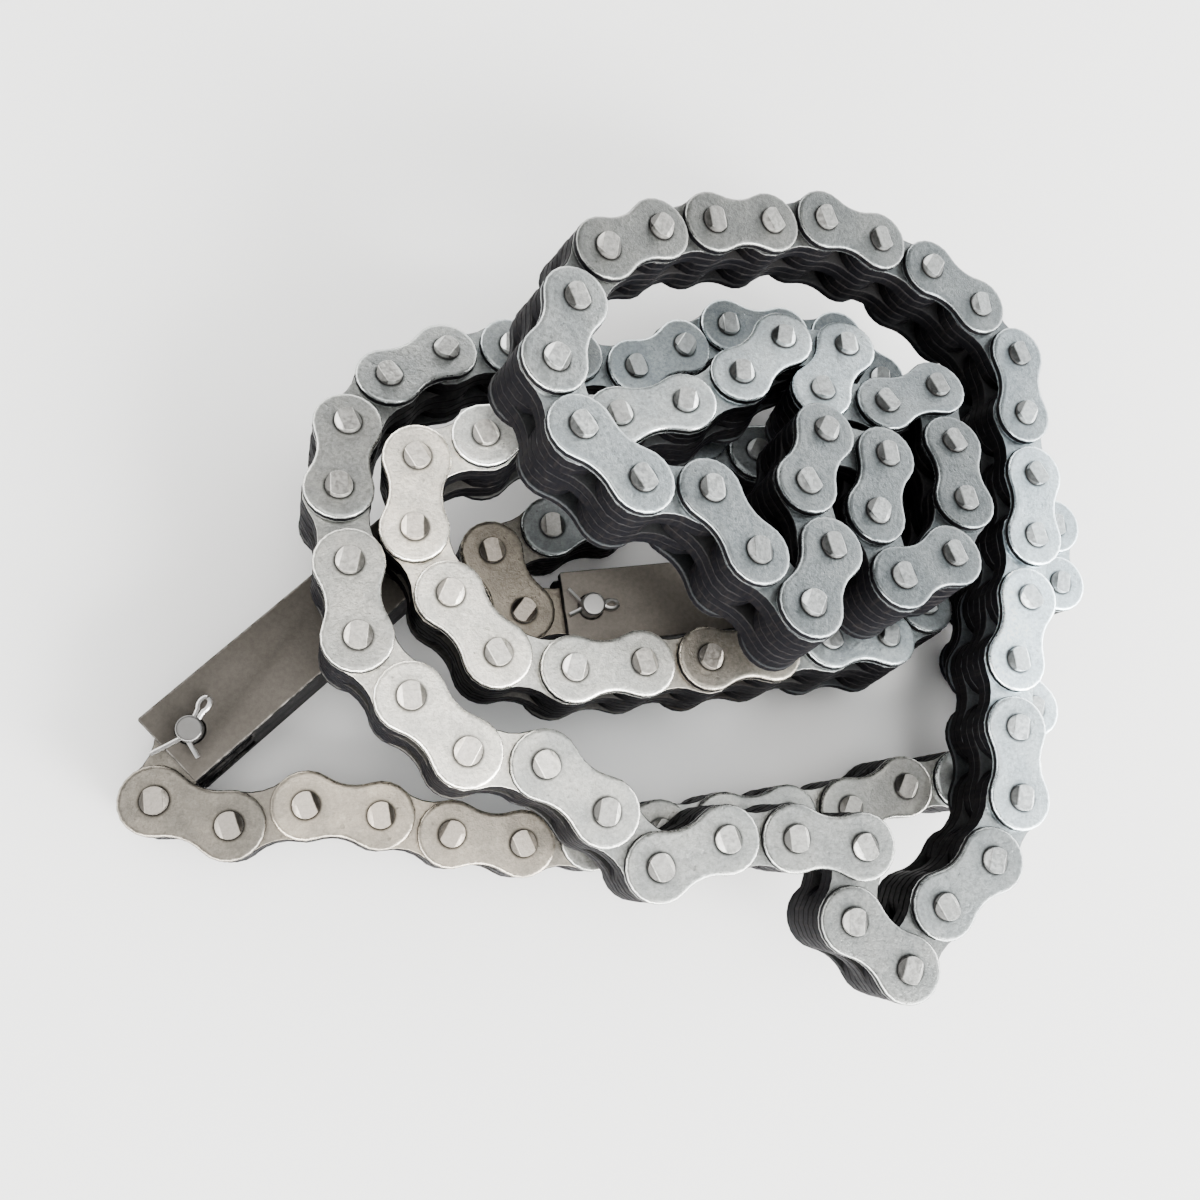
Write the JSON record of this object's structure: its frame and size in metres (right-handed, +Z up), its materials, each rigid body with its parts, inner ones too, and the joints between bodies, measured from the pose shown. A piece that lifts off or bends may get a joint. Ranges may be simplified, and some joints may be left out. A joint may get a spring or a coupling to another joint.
{
  "type": "heap of steel leaf chain",
  "caption": "Steel leaf chain lying heaped in loops on its side, with a slotted steel anchor block pinned to each end.",
  "frame": {"origin": "middle of the heap's footprint, on the floor it lies on", "axes": "+Z is up, +X runs to the right and +Y away from the viewer as the heap is seen in the picture"},
  "size_m": [0.2354, 0.1874, 0.0703],
  "materials": {
    "plate_steel": "satin, tumbled edges, slightly oily",
    "block_steel": "matte dark brown-grey scale",
    "bright_steel": "bright"
  },
  "bodies": {
    "root": {"chain_01": "plate_steel", "chain_02": "plate_steel", "chain_03": "plate_steel", "chain_04": "plate_steel", "chain_05": "plate_steel", "chain_06": "plate_steel", "chain_07": "plate_steel", "chain_08": "plate_steel", "chain_09": "plate_steel", "chain_10": "plate_steel", "chain_11": "plate_steel", "chain_12": "plate_steel", "chain_13": "plate_steel", "chain_14": "plate_steel", "chain_15": "plate_steel", "chain_16": "plate_steel", "chain_17": "plate_steel", "chain_18": "plate_steel", "chain_19": "plate_steel", "chain_20": "plate_steel", "chain_21": "plate_steel", "chain_22": "plate_steel", "chain_23": "plate_steel", "chain_24": "plate_steel", "chain_25": "plate_steel", "chain_26": "plate_steel", "chain_27": "plate_steel", "chain_28": "plate_steel", "anchor_block_a": "block_steel", "anchor_pin_a": "bright_steel", "cotter_a": "bright_steel", "anchor_block_b": "block_steel", "anchor_pin_b": "bright_steel", "cotter_b": "bright_steel"}
  },
  "joints": []
}
